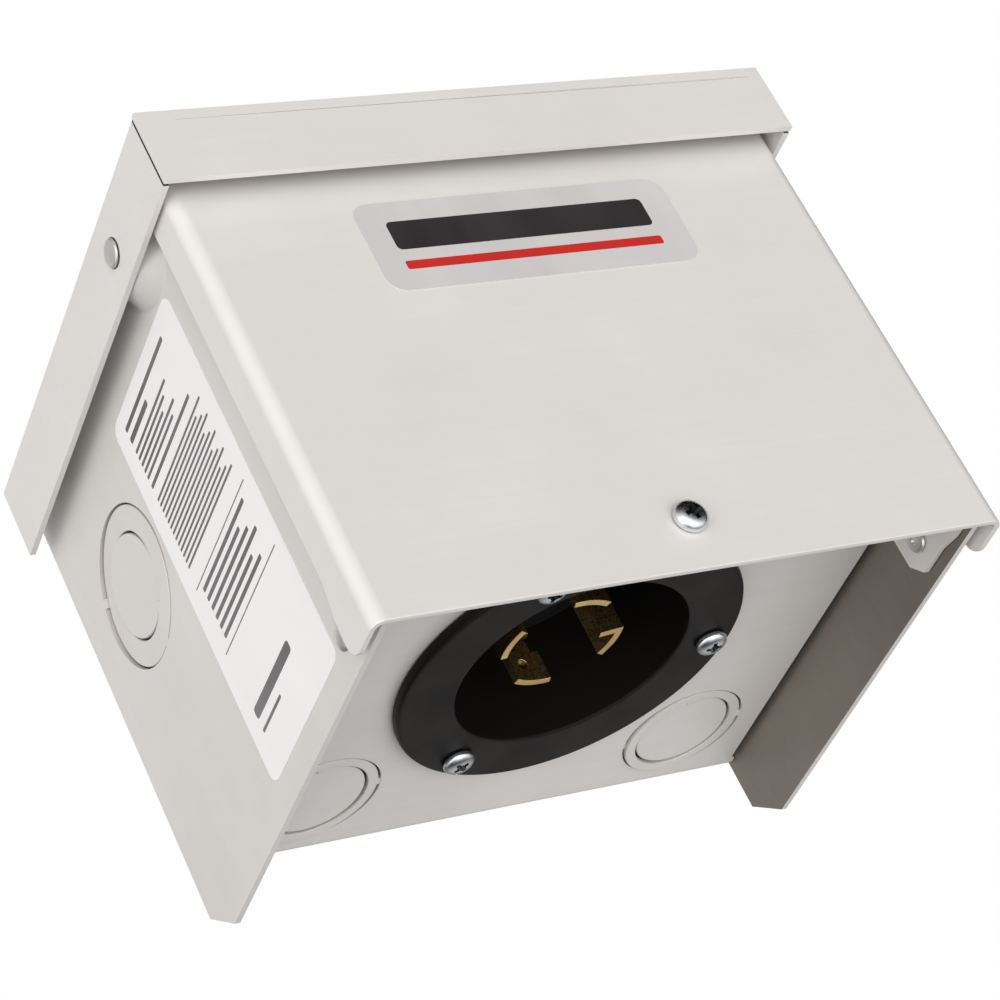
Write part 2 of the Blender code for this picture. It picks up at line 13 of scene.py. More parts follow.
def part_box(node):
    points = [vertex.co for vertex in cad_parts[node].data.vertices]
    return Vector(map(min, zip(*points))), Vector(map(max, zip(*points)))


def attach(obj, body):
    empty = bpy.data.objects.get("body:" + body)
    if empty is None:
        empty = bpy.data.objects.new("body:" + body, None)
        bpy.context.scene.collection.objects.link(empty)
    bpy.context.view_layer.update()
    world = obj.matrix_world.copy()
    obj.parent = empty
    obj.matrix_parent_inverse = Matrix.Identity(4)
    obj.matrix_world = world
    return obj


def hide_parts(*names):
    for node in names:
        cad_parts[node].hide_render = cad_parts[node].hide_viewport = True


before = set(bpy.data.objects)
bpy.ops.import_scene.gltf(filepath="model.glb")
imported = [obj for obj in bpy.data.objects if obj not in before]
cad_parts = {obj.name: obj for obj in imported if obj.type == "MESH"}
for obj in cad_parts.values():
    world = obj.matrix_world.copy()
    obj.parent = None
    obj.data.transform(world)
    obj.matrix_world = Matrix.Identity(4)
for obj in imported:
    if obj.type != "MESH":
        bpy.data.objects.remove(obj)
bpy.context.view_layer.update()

MM = 0.001

# ---------------------------------------------------------------- sizes


def corners(node):
    """Lowest and highest corner of a CAD node, in millimetres."""
    low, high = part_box(node)
    return low / MM, high / MM


COVER_LOW, COVER_HIGH = corners("front_cover")
HOOD_LOW, HOOD_HIGH = corners("hood")
WALL_LOW, WALL_HIGH = corners("side_wall_right")
CHASSIS_LOW, CHASSIS_HIGH = corners("chassis")
INLET_LOW, INLET_HIGH = corners("inlet_housing")
CARRIER_LOW, CARRIER_HIGH = corners("contact_carrier")
LABEL_LOW, LABEL_HIGH = corners("side_label")
BADGE_LOW, BADGE_HIGH = corners("front_badge")
SCREW_LOW, SCREW_HIGH = corners("cover_screw")

SHEET = 1.3                 # aluminium sheet
FRONT = COVER_LOW.y         # face of the front cover
WALL_IN = WALL_LOW.x        # inner face of the right side wall
WALL_OUT = WALL_IN + SHEET
PANEL_Z = -50.9             # underside of the inlet panel
INLET_Y = (INLET_LOW.y + INLET_HIGH.y) / 2
INLET_SCREWS = 3
INLET_SCREW_R = 33.3        # circle of the flange's screws
EDGE = 0.22                 # broken edge of cut sheet
FILM = 0.15                 # printed film
INK = 0.03                  # print on the film
SCREW_X = (SCREW_LOW.x + SCREW_HIGH.x) / 2
SCREW_Z = (SCREW_LOW.z + SCREW_HIGH.z) / 2


# ---------------------------------------------------------------- meshes

PLANE_XY = Matrix.Identity(4)
PLANE_YZ = Matrix(((0, 0, 1, 0), (1, 0, 0, 0), (0, 1, 0, 0), (0, 0, 0, 1)))
PLANE_XZ = Matrix(((1, 0, 0, 0), (0, 0, -1, 0), (0, 1, 0, 0), (0, 0, 0, 1)))
AXIS_TURN = {
    "X": Matrix.Rotation(math.radians(90), 4, "Y"),
    "-X": Matrix.Rotation(math.radians(-90), 4, "Y"),
    "Y": Matrix.Rotation(math.radians(-90), 4, "X"),
    "-Y": Matrix.Rotation(math.radians(90), 4, "X"),
    "Z": Matrix.Identity(4),
    "-Z": Matrix.Rotation(math.radians(180), 4, "X"),
}


def shift(x, y, z):
    return Matrix.Translation((x, y, z))


def spin(degrees, axis):
    return Matrix.Rotation(math.radians(degrees), 4, axis)


def facing(centre, axis):
    """Puts local +Z along an axis, at a centre."""
    return shift(*centre) @ AXIS_TURN[axis]


def work_object(shape, name="work"):
    mesh = bpy.data.meshes.new(name)
    bmesh.ops.recalc_face_normals(shape, faces=shape.faces)
    bmesh.ops.scale(shape, verts=shape.verts, vec=(MM, MM, MM))
    shape.to_mesh(mesh)
    shape.free()
    obj = bpy.data.objects.new(name, mesh)
    bpy.context.scene.collection.objects.link(obj)
    return obj


def prism(outline, low, high, plane=PLANE_XY):
    """Solid with a flat outline in (u, v), between two heights along the plane's normal."""
    shape = bmesh.new()
    rings = [[shape.verts.new(plane @ Vector((u, v, w))) for u, v in outline] for w in (low, high)]
    shape.faces.new(rings[0])
    shape.faces.new(rings[1])
    for index in range(len(outline)):
        after = (index + 1) % len(outline)
        shape.faces.new((rings[0][index], rings[0][after], rings[1][after], rings[1][index]))
    return work_object(shape)


def block(low, high, place=None):
    outline = [(low[0], low[1]), (high[0], low[1]), (high[0], high[1]), (low[0], high[1])]
    return prism(outline, low[2], high[2], place or PLANE_XY)


def turned(profile, place, sides=64):
    """Turned solid round local Z. The (radius, height) profile closes on the axis or on itself."""
    shape = bmesh.new()
    rings = []
    for radius, height in profile:
        if radius < 1e-6:
            rings.append([shape.verts.new(place @ Vector((0, 0, height)))])
            continue
        ring = []
        for side in range(sides):
            angle = 2 * math.pi * side / sides
            spot = Vector((radius * math.cos(angle), radius * math.sin(angle), height))
            ring.append(shape.verts.new(place @ spot))
        rings.append(ring)
    pairs = list(zip(rings, rings[1:]))
    if profile[0][0] > 1e-6:
        pairs.append((rings[-1], rings[0]))
    for first, second in pairs:
        for side in range(sides):
            after = (side + 1) % sides
            if len(first) == 1:
                shape.faces.new((first[0], second[side], second[after]))
            elif len(second) == 1:
                shape.faces.new((first[side], second[0], first[after]))
            else:
                shape.faces.new((first[side], second[side], second[after], first[after]))
    return work_object(shape)


def rod(radius, low, high, place, sides=48):
    return turned([(0, high), (radius, high), (radius, low), (0, low)], place, sides)


def boolean(obj, others, operation):
    for other in others:
        modifier = obj.modifiers.new(operation, "BOOLEAN")
        modifier.operation = operation
        modifier.object = other
        modifier.solver = "EXACT"
        bpy.context.view_layer.objects.active = obj
        bpy.ops.object.modifier_apply(modifier=modifier.name)
        bpy.data.objects.remove(other, do_unlink=True)
    return obj


def cut(obj, *others):
    return boolean(obj, others, "DIFFERENCE")


def fuse(obj, *others):
    return boolean(obj, others, "UNION")


def break_edges(obj, width=EDGE, angle=32, segments=2):
    """Small round on every sharp edge."""
    clean = bmesh.new()
    clean.from_mesh(obj.data)
    bmesh.ops.remove_doubles(clean, verts=clean.verts, dist=0.002 * MM)
    bmesh.ops.dissolve_limit(
        clean, angle_limit=math.radians(0.5), verts=clean.verts, edges=clean.edges
    )
    clean.to_mesh(obj.data)
    clean.free()
    bevel = obj.modifiers.new("edges", "BEVEL")
    bevel.limit_method = "ANGLE"
    bevel.angle_limit = math.radians(angle)
    bevel.width = width * MM
    bevel.segments = segments
    bevel.use_clamp_overlap = True
    bpy.context.view_layer.objects.active = obj
    bpy.ops.object.modifier_apply(modifier=bevel.name)
    return obj


def piece(name, parts, material, body, replaces, smooth_angle=35):
    """Joins work objects into one visible piece, smooth except at sharp edges."""
    shape = bmesh.new()
    for part in parts:
        shape.from_mesh(part.data)
        bpy.data.objects.remove(part, do_unlink=True)
    mesh = bpy.data.meshes.new(name)
    shape.to_mesh(mesh)
    shape.free()
    obj = bpy.data.objects.new(name, mesh)
    bpy.context.scene.collection.objects.link(obj)
    mesh.materials.append(material)
    mesh.shade_smooth()
    mesh.set_sharp_from_angle(angle=math.radians(smooth_angle))
    # Large flat faces keep their own normals, so that they shade flat up to the small rounds
    weighted = obj.modifiers.new("normals", "WEIGHTED_NORMAL")
    weighted.keep_sharp = True
    weighted.weight = 100
    bpy.context.view_layer.objects.active = obj
    bpy.ops.object.modifier_apply(modifier=weighted.name)
    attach(obj, body)
    if replaces:
        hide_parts(*replaces)
    return obj


def arc(centre, radius, start, stop, steps=6):
    """Points on a circle, angles in degrees."""
    points = []
    for step in range(steps + 1):
        angle = math.radians(start + (stop - start) * step / steps)
        points.append((centre[0] + radius * math.cos(angle), centre[1] + radius * math.sin(angle)))
    return points


def folded(path, radii, thickness=SHEET, steps=8):
    """Outline of a sheet folded along path. The path is its left face, thickness lies right.

    radii are the outside bend radii at the inner points of the path.
    """
    points = [Vector(point) for point in path]
    left, right = [], []
    for index, point in enumerate(points):
        before = (point - points[index - 1]).normalized() if index else None
        after = (points[index + 1] - point).normalized() if index + 1 < len(points) else None
        if before is None or after is None:
            along = after or before
            left.append(tuple(point))
            right.append(tuple(point + Vector((along.y, -along.x)) * thickness))
            continue
        first = Vector((before.y, -before.x))
        second = Vector((after.y, -after.x))
        left_outside = before.x * after.y - before.y * after.x < 0
        radius = radii[index - 1]
        if left_outside:
            centre = point + (first + second) * radius
            for step in range(steps + 1):
                spoke = first.slerp(second, step / steps)
                left.append(tuple(centre - spoke * radius))
                right.append(tuple(centre - spoke * (radius - thickness)))
        else:
            centre = point - (first + second) * (radius - thickness)
            for step in range(steps + 1):
                spoke = first.slerp(second, step / steps)
                left.append(tuple(centre + spoke * (radius - thickness)))
                right.append(tuple(centre + spoke * radius))
    return left + right[::-1]


# ---------------------------------------------------------------- materials


class Nodes:
    """Short way to write a material's nodes."""

    def __init__(self, name):
        self.material = bpy.data.materials.new(name)
        self.material.use_nodes = True
        self.tree = self.material.node_tree
        self.shader = self.tree.nodes["Principled BSDF"]
        self.place = self.tree.nodes.new("ShaderNodeTexCoord").outputs["Object"]

    def link(self, output, target):
        self.tree.links.new(output, target)

    def noise(self, scale, detail=3.0, roughness=0.5):
        """Noise in object space; scale is features per metre along each axis."""
        mapping = self.tree.nodes.new("ShaderNodeMapping")
        mapping.inputs["Scale"].default_value = scale
        self.link(self.place, mapping.inputs["Vector"])
        texture = self.tree.nodes.new("ShaderNodeTexNoise")
        texture.inputs["Scale"].default_value = 1.0
        texture.inputs["Detail"].default_value = detail
        texture.inputs["Roughness"].default_value = roughness
        self.link(mapping.outputs["Vector"], texture.inputs["Vector"])
        return texture.outputs["Fac"]

    def spread(self, value, low, high, floor, ceiling):
        """Maps low..high to floor..ceiling."""
        node = self.tree.nodes.new("ShaderNodeMapRange")
        for socket, number in zip(node.inputs[1:5], (low, high, floor, ceiling)):
            socket.default_value = number
        self.link(value, node.inputs[0])
        return node.outputs[0]

    def math(self, operation, first, second):
        node = self.tree.nodes.new("ShaderNodeMath")
        node.operation = operation
        for socket, value in zip(node.inputs, (first, second)):
            if isinstance(value, (int, float)):
                socket.default_value = value
            else:
                self.link(value, socket)
        return node.outputs[0]

    def blend(self, factor, first, second):
        """Colour between two colours or sockets."""
        node = self.tree.nodes.new("ShaderNodeMix")
        node.data_type = "RGBA"
        self.link(factor, node.inputs["Factor"])
        for name, value in (("A", first), ("B", second)):
            socket = [s for s in node.inputs if s.name == name and s.type == "RGBA"][0]
            if isinstance(value, tuple):
                socket.default_value = (*value, 1)
            else:
                self.link(value, socket)
        return [s for s in node.outputs if s.type == "RGBA"][0]

    def bump(self, height, strength, distance):
        """Bump; distance is in millimetres."""
        node = self.tree.nodes.new("ShaderNodeBump")
        node.inputs["Strength"].default_value = strength
        node.inputs["Distance"].default_value = distance * MM
        self.link(height, node.inputs["Height"])
        self.link(node.outputs["Normal"], self.shader.inputs["Normal"])


METALLIC = 0.12             # of the aluminium sheets
MIDDLE = (0.3, 0.7)         # where most of a noise's values lie


def rolled_metal(name, light, dark, roughness, grain, metallic=METALLIC, streak=0.05, bump=0.13):
    """Mill-finish sheet: fine lines along the rolling direction and cloudy patches."""
    nodes = Nodes(name)
    along, across = 45.0, 2600.0
    fine = nodes.noise([along if axis == grain else across for axis in "XYZ"], 4.0, 0.65)
    broad = nodes.noise([14.0 if axis == grain else 320.0 for axis in "XYZ"], 3.0, 0.6)
    clouds = nodes.noise((26.0, 26.0, 26.0), 4.0, 0.6)
    specks = nodes.noise((900.0, 900.0, 900.0), 2.0, 0.7)
    tone = nodes.math("ADD", nodes.spread(clouds, *MIDDLE, 0.0, 0.5), nodes.spread(broad, *MIDDLE, 0.0, 0.15))
    tone = nodes.math("ADD", tone, nodes.spread(fine, *MIDDLE, 0.0, 2 * streak))
    colour = nodes.blend(tone, light, dark)
    nodes.link(colour, nodes.shader.inputs["Base Color"])
    rough = nodes.math("ADD", nodes.spread(fine, *MIDDLE, roughness - 0.05, roughness + 0.05),
                       nodes.spread(clouds, *MIDDLE, -0.03, 0.05))
    nodes.link(rough, nodes.shader.inputs["Roughness"])
    nodes.shader.inputs["Metallic"].default_value = metallic
    height = nodes.math("ADD", nodes.math("MULTIPLY", fine, 1.0), nodes.math("MULTIPLY", specks, 0.25))
    nodes.bump(height, bump, 0.012)
    return nodes.material


def plated_metal(name, light, dark, roughness, scale=700.0, bump=0.2):
    """Small plated, cast or turned metal: speckled tone and a faint orange peel."""
    nodes = Nodes(name)
    patches = nodes.noise((scale / 4,) * 3, 3.0)
    fine = nodes.noise((scale * 3,) * 3, 3.0)
    colour = nodes.blend(nodes.spread(patches, 0.35, 0.65, 0, 1), light, dark)
    nodes.link(colour, nodes.shader.inputs["Base Color"])
    rough = nodes.spread(fine, *MIDDLE, roughness - 0.06, roughness + 0.1)
    nodes.link(rough, nodes.shader.inputs["Roughness"])
    nodes.shader.inputs["Metallic"].default_value = 1.0
    nodes.bump(fine, bump, 0.01)
    return nodes.material


def moulded(name, light, dark, roughness, specular=0.5, scale=900.0, bump=0.35):
    """Moulded plastic: fine pebble, slight flow marks."""
    nodes = Nodes(name)
    pebble = nodes.noise((scale,) * 3, 3.0)
    flow = nodes.noise((60.0, 60.0, 20.0), 3.0)
    colour = nodes.blend(nodes.spread(flow, *MIDDLE, 0, 1), light, dark)
    nodes.link(colour, nodes.shader.inputs["Base Color"])
    rough = nodes.spread(flow, *MIDDLE, roughness - 0.06, roughness + 0.06)
    nodes.link(rough, nodes.shader.inputs["Roughness"])
    nodes.shader.inputs["Specular IOR Level"].default_value = specular
    nodes.bump(pebble, bump, 0.03)
    return nodes.material


ROUGH = 0.42                # of the aluminium sheets
ALUMINIUM_X = rolled_metal("aluminium_grain_x", (0.82, 0.80, 0.785), (0.70, 0.68, 0.665), ROUGH, "X")
ALUMINIUM_Z = rolled_metal("aluminium_grain_z", (0.74, 0.725, 0.71), (0.64, 0.62, 0.605), ROUGH, "Z")
ALUMINIUM_Y = rolled_metal("aluminium_grain_y", (0.86, 0.85, 0.83), (0.78, 0.77, 0.75), ROUGH, "Y")
# Darker brown metal that is painted on: on the walls' inner faces it stands for shade and a dark reflection,
# in the hood's corner gaps for shade
ALUMINIUM_PAINTED_SHADE = rolled_metal(
    "aluminium_painted_shade", (0.305, 0.272, 0.24), (0.23, 0.205, 0.18), ROUGH, "Z", metallic=0.7
)
# Darker metal for the knockouts' slit walls: painted shade in the slits
ALUMINIUM_SLIT_SHADE = rolled_metal(
    "aluminium_slit_painted_shade", (0.62, 0.60, 0.58), (0.50, 0.48, 0.46), 0.5, "Z", metallic=0.3
)
RIVET = plated_metal("aluminium_rivet", (0.80, 0.79, 0.77), (0.66, 0.65, 0.63), 0.34)
ZINC = plated_metal("zinc_plate", (0.74, 0.77, 0.80), (0.60, 0.63, 0.66), 0.22)
# Near-black metal in the screws' cross recesses: painted shade
SCREW_RECESS_SHADE = plated_metal("screw_recess_painted_shade", (0.10, 0.11, 0.12), (0.03, 0.03, 0.035), 0.45)
GREEN = plated_metal("green_zinc", (0.06, 0.33, 0.12), (0.03, 0.20, 0.07), 0.35)
BRASS = plated_metal("brass", (0.83, 0.60, 0.27), (0.66, 0.45, 0.18), 0.30, bump=0.03)
NYLON = moulded("black_nylon", (0.009, 0.0075, 0.007), (0.006, 0.005, 0.005), 0.42, specular=0.15)
CARRIER = moulded("black_carrier", (0.012, 0.011, 0.011), (0.008, 0.008, 0.008), 0.55)
WHITE_FILM = moulded("white_film", (0.92, 0.92, 0.93), (0.88, 0.88, 0.89), 0.42, scale=500.0, bump=0.05)
SILVER_FILM = moulded("silver_film", (0.64, 0.63, 0.63), (0.56, 0.55, 0.55), 0.36, scale=500.0, bump=0.05)
BLACK_INK = moulded("black_ink", (0.022, 0.020, 0.022), (0.035, 0.032, 0.034), 0.4, scale=700.0, bump=0.05)
RED_INK = moulded("red_ink", (0.62, 0.030, 0.022), (0.52, 0.022, 0.018), 0.4, scale=700.0, bump=0.05)
GREY_INK = moulded("grey_ink", (0.11, 0.105, 0.11), (0.19, 0.18, 0.19), 0.5, scale=700.0, bump=0.05)


# ---------------------------------------------------------------- sheet metal

HOOD_BEND = 3.2             # the hood's front fold
HOOD_CORNER = 3.4           # the folds stop this far short of the hood's front corners
SIDE_BEND = 1.8
COVER_BEND = 3.0
RIVET_Y, RIVET_Z = -88.3, 41.0
EAR_RIVET_Y, EAR_RIVET_Z = -94.6, -61.2
BOSS_BASE_R, BOSS_TOP_R = 12.5, 8.6
SIDE_KNOCKOUT = (-28.5, 2.0)
SIDE_KNOCKOUT_R = (17.4, 11.1)
PANEL_KNOCKOUT = (44.9, -19.6)
PANEL_KNOCKOUT_R = (14.3, 11.1)
COVER_SCREW_HOLE_R = 2.6
LIP_HOLE_R = 2.7
INLET_SCREW_HOLE_R = 2.3
HOOD_RIVET_HOLE_R = 3.25
BOSS_HOLE_R = 2.3
EAR_RIVET_HOLE_R = 1.9
PANEL_HOLE_R = 28.9
MOUNT_X, MOUNT_Z, MOUNT_HOLE_R = 45, 34, 3.0
EAR_BACK, EAR_BOTTOM = -88.0, -66.6
EAR_BEND = 2.6
CHASSIS_BEND = 2.2
BACK_FLANGE = 12
TIE = 1.1                   # half width of a knockout's tie
PANEL_TRIM = 1.1            # the panel stops short of the walls, behind the lip
SLIT = 0.36                 # shear line round a knockout
SHEARED = 0.75              # a face leaning less than this out of the sheet is a sheared edge
HOOD_SLIT = 0.6             # gap at the hood's front corners
WALL_CHAMFER = (9.0, 7.0)
INNER_FACE = 0.9            # how squarely a face must look inwards to be an inner one


def hood():
    half = HOOD_HIGH.x
    top, skirt = HOOD_HIGH.z, HOOD_LOW.z
    front, back = HOOD_LOW.y, HOOD_HIGH.y
    seam = front + SHEET
    sides = folded([(-half, skirt), (-half, top), (half, top), (half, skirt)], (SIDE_BEND,) * 2)
    sheet = prism(sides, -back, -(seam + HOOD_SLIT), PLANE_XZ)
    nose = folded(
        [(seam + 6, top), (front, top), (front, skirt)][::-1], (HOOD_BEND,)
    )
    nose = prism(nose, -half + HOOD_CORNER, half - HOOD_CORNER, PLANE_YZ)
    plate = block((-half, front, skirt), (half, seam, top - 0.75))
    bridge = block((-half + 2, front + 0.4, top - SHEET), (half - 2, seam + 2, top - 0.75))
    fuse(plate, bridge)
    fuse(sheet, plate)
    fuse(sheet, nose)
    # The fold's tool mark opens into a fine gap towards the right end
    z = top - HOOD_BEND - 0.1
    left, right = -half + 8, half - HOOD_CORNER + 0.4
    mark = prism([(left, z - 0.04), (right, z - 0.30), (right, z + 0.26), (left, z + 0.04)],
                 -front - 0.55, -front + 1, PLANE_XZ)
    cut(sheet, mark)
    for side in (-1, 1):
        cut(sheet, rod(HOOD_RIVET_HOLE_R, -4, 4, facing((side * half, RIVET_Y, RIVET_Z), "X")))
    break_edges(sheet, 0.25)
    obj = piece("hood_shell", [sheet], ALUMINIUM_X, "box", ["hood"])
    # The faces in the gap at the hood's front corners get the darker metal as painted shade in the gap
    obj.data.materials.append(ALUMINIUM_PAINTED_SHADE)
    for face in obj.data.polygons:
        y = face.center.y / MM
        if seam - EDGE < y < seam + HOOD_SLIT + EDGE and abs(face.normal.y) > SHEARED:
            face.material_index = 1
    return obj


def cover():
    half = COVER_HIGH.x
    foot = COVER_HIGH.y          # the flange is a little deeper at its rounded lower end
    back = foot - 2.0
    path = [(-half, foot), (-half, FRONT), (half, FRONT), (half, foot)]
    sheet = prism(
        folded(path[::-1], (COVER_BEND,) * 2, steps=10), COVER_LOW.z, COVER_HIGH.z
    )
    low = COVER_LOW.z
    away = foot + 4
    trim = [(away, COVER_HIGH.z + 1), (back, COVER_HIGH.z + 1), (back, low + 17)]
    trim += [(foot - 0.25, low + 9), (foot, low + 6.5)]
    trim += arc((foot - 3.5, low + 3.5), 3.5, 0, -90, 6)
    trim += [(foot - 3.5, low - 1), (away, low - 1)]
    cut(sheet, prism(trim, -half - 5, half + 5, PLANE_YZ))
    cut(sheet, rod(COVER_SCREW_HOLE_R, -5, 5, facing((SCREW_X, FRONT, SCREW_Z), "Y")))
    break_edges(sheet, 0.3)
    return piece("cover_panel", [sheet], ALUMINIUM_X, "cover", ["front_cover"])


def knockout(place, radii, ring_tilt, ring_lift, disc_tilt, disc_lift, ties):
    """Sheared knockout: a ring and a disc, each sprung a little, held by small ties.

    place has local +Z out of the sheet's outer face. tilts are (degrees, direction angle).
    """
    outer, inner = radii
    ring = turned(
        [(inner + SLIT, 0), (outer - SLIT, 0), (outer - SLIT, -SHEET), (inner + SLIT, -SHEET)],
        Matrix.Identity(4), 72,
    )
    disc = rod(inner - 0.05, -SHEET, 0, Matrix.Identity(4), 64)
    parts = []
    for obj, (degrees, direction), lift in ((ring, ring_tilt, ring_lift), (disc, disc_tilt, disc_lift)):
        break_edges(obj, 0.3, 40, 3)
        turn = spin(direction, "Z") @ spin(degrees, "Y") @ spin(-direction, "Z")
        obj.data.transform(
            Matrix.Scale(MM, 4) @ place @ shift(0, 0, lift) @ turn @ Matrix.Scale(1 / MM, 4)
        )
        parts.append(obj)
    for radius, direction in ties:
        tie = block((radius - 1.0, -TIE, -SHEET + 0.1), (radius + 1.0, TIE, -0.12),
                    place @ spin(direction, "Z"))
        parts.append(break_edges(tie, 0.25))
    return parts


def mark_slit_shade(obj, place, radii):
    """Gives the sheared edges of a knockout the last material of obj, a darker metal that is painted shade in
    the slits.
    """
    local = (Matrix.Scale(MM, 4) @ place).inverted()
    out = place.to_3x3().transposed()
    for face in obj.data.polygons:
        spot = local @ face.center
        reach = math.hypot(spot.x, spot.y)
        near = min(abs(reach - radius) for radius in radii)
        if abs(spot.z) < 2 * SHEET and near < 4 * SLIT and abs((out @ face.normal).z) < SHEARED:
            face.material_index = len(obj.data.materials) - 1


def side_wall(name, side):
    """Wall with its pressed boss, sprung knockout and cut corner."""
    inner, outer = WALL_IN, WALL_OUT
    cut_y, cut_z = WALL_CHAMFER
    front = WALL_LOW.y
    low, top = WALL_LOW.z, WALL_HIGH.z
    outline = [(front, low), (-cut_y, low), (0, low + cut_z), (0, top), (front, top)]
    wall = prism(outline, *sorted((side * inner, side * outer)), PLANE_YZ)
    axis = "X" if side > 0 else "-X"
    rise = HOOD_HIGH.x - SHEET - 0.3 - outer
    boss_at = facing((side * outer, RIVET_Y, RIVET_Z), axis)

    def swell(shrink, drop):
        points = [(0, rise - drop)]
        points += [(BOSS_TOP_R - shrink - 0.8, rise - drop), (BOSS_TOP_R - shrink, rise - drop - 0.25)]
        points += [(BOSS_BASE_R - shrink - 0.5, 0.35 - drop), (BOSS_BASE_R - shrink + 0.3, -drop)]
        return points

    boss = turned(swell(0, 0) + [(BOSS_BASE_R + 0.3, -SHEET / 2), (0, -SHEET / 2)], boss_at)
    fuse(wall, boss)
    cut(wall, turned(swell(0.9, SHEET) + [(BOSS_BASE_R - 0.6, -4), (0, -4)], boss_at))
    cut(wall, block((-80, RIVET_Y - 20, top), (80, RIVET_Y + 20, top + 10)))
    cut(wall, rod(BOSS_HOLE_R, -8, 8, boss_at))
    ear_at = facing((side * outer, EAR_RIVET_Y, EAR_RIVET_Z), axis)
    cut(wall, rod(EAR_RIVET_HOLE_R, -3, 3, ear_at))
    knock_at = facing((side * outer, *SIDE_KNOCKOUT), axis)
    cut(wall, rod(SIDE_KNOCKOUT_R[0], -4, 4, knock_at, 72))
    break_edges(wall)
    # Local directions of the knockout: 0 degrees is up or down the wall, 90 is along its depth
    parts = [wall] + knockout(
        knock_at, SIDE_KNOCKOUT_R, (2.0, 80), -0.30, (2.0, 200), 0.0,
        [(SIDE_KNOCKOUT_R[0], 65), (SIDE_KNOCKOUT_R[0], 189), (SIDE_KNOCKOUT_R[1], 210)],
    )
    obj = piece(name, parts, ALUMINIUM_Z, "box", [f"side_wall_{name.split('_')[-1]}"])
    # The inner face is given a darker brown metal than the outer one: painted shade and a painted dark
    # reflection
    obj.data.materials.append(ALUMINIUM_PAINTED_SHADE)
    for face in obj.data.polygons:
        if -side * face.normal.x > INNER_FACE:
            face.material_index = 1
    # The knockout's slit walls get painted shade
    obj.data.materials.append(ALUMINIUM_SLIT_SHADE)
    mark_slit_shade(obj, knock_at, SIDE_KNOCKOUT_R)
    return obj


def inlet_screw_spots():
    for index in range(INLET_SCREWS):
        angle = math.radians(360 / INLET_SCREWS * index)
        yield INLET_SCREW_R * math.cos(angle), INLET_Y + INLET_SCREW_R * math.sin(angle)


def chassis():
    """Back plate, inlet panel, lip and the ears that fold back along the walls."""
    half = CHASSIS_HIGH.x
    top = CHASSIS_HIGH.z
    lip_y, lip_z = CHASSIS_LOW.y, CHASSIS_LOW.z
    lip = lip_y + SHEET
    path = [(0, top), (0, PANEL_Z), (lip, PANEL_Z), (lip, lip_z)]
    sheet = prism(folded(path, (CHASSIS_BEND,) * 2), -half, half, PLANE_YZ)
    for side in (-1, 1):
        inner, outer = sorted((side * (half - SHEET), side * half))
        near, far = sorted((side * (half - EAR_BEND), side * (half + 1)))
        cut(sheet, block((near, lip_y - 1, lip_z - 1), (far, lip + 2.0, PANEL_Z + SHEET + 1)))
        wrap = [(side * (half - 8), lip_y), (side * half, lip_y), (side * half, EAR_BACK)]
        path = folded(wrap[::-1] if side > 0 else wrap, (EAR_BEND,), steps=6)
        ear = prism(path, lip_z + 0.2, PANEL_Z - 1.9)
        corner = [(EAR_BACK - 0.1, PANEL_Z), (EAR_BACK - 0.1, -63.0), (-91.0, EAR_BOTTOM)]
        corner += [(-98.5, EAR_BOTTOM), (-104, lip_z + 0.2), (-104, lip_z - 3)]
        corner += [(EAR_BACK + 3, lip_z - 3), (EAR_BACK + 3, PANEL_Z)]
        cut(ear, prism(corner, *sorted((side * (half - 4), side * (half + 4))), PLANE_YZ))
        fuse(sheet, ear)
        flange = block((inner, -BACK_FLANGE, PANEL_Z + 2), (outer, -SHEET / 2, top - 1.5))
        fuse(sheet, flange)
        ear_at = facing((side * half, EAR_RIVET_Y, EAR_RIVET_Z), "X")
        cut(sheet, rod(EAR_RIVET_HOLE_R, -3, 3, ear_at))
    cut(sheet, rod(PANEL_HOLE_R, -5, 5, shift(0, INLET_Y, PANEL_Z), 72))
    for x, y in inlet_screw_spots():
        cut(sheet, rod(INLET_SCREW_HOLE_R, -5, 5, shift(x, y, PANEL_Z), 24))
    for x in (-MOUNT_X, MOUNT_X):
        for z in (-MOUNT_Z, MOUNT_Z):
            cut(sheet, rod(MOUNT_HOLE_R, -5, 5, facing((x, 0, z), "Y"), 32))
    cut(sheet, rod(LIP_HOLE_R, -5, 5, facing((SCREW_X, lip_y, SCREW_Z), "Y"), 32))
    for side in (-1, 1):
        near, far = sorted((side * (half - PANEL_TRIM), side * (half + 1)))
        cut(sheet, block((near, lip + 2.5, PANEL_Z - 1), (far, -3, PANEL_Z + SHEET + 0.4)))
    knock = []
    for side in (-1, 1):
        place = facing((side * PANEL_KNOCKOUT[0], PANEL_KNOCKOUT[1], PANEL_Z), "-Z")
        cut(sheet, rod(PANEL_KNOCKOUT_R[0], -4, 4, place, 72))
        knock += knockout(
            place, PANEL_KNOCKOUT_R, (2.0, 30), 0.25, (2.0, 60), -0.25,
            [(PANEL_KNOCKOUT_R[0], 190), (PANEL_KNOCKOUT_R[0], 10), (PANEL_KNOCKOUT_R[1], 100)],
        )
    break_edges(sheet)
    obj = piece("chassis_sheet", [sheet] + knock, ALUMINIUM_X, "box", ["chassis"])
    # The knockouts' slit walls get painted shade
    obj.data.materials.append(ALUMINIUM_SLIT_SHADE)
    for side in (-1, 1):
        place = facing((side * PANEL_KNOCKOUT[0], PANEL_KNOCKOUT[1], PANEL_Z), "-Z")
        mark_slit_shade(obj, place, PANEL_KNOCKOUT_R)
    return obj


# ---------------------------------------------------------------- fasteners

RECESS_REACH = 0.56         # arms of the cross, as a share of the head's radius
RECESS_EDGE = 0.15          # the painted shade in the recess starts this far under the crown
PITCH = 0.7                 # of the thread
# (radius, height) of a head and (radius, length) of a shank
COVER_SCREW_HEAD_H, COVER_SCREW_SHANK = 2.4, (2.0, 8.3)
INLET_SCREW_HEAD, INLET_SCREW_SHANK = (3.5, 2.1), (1.8, 9.0)


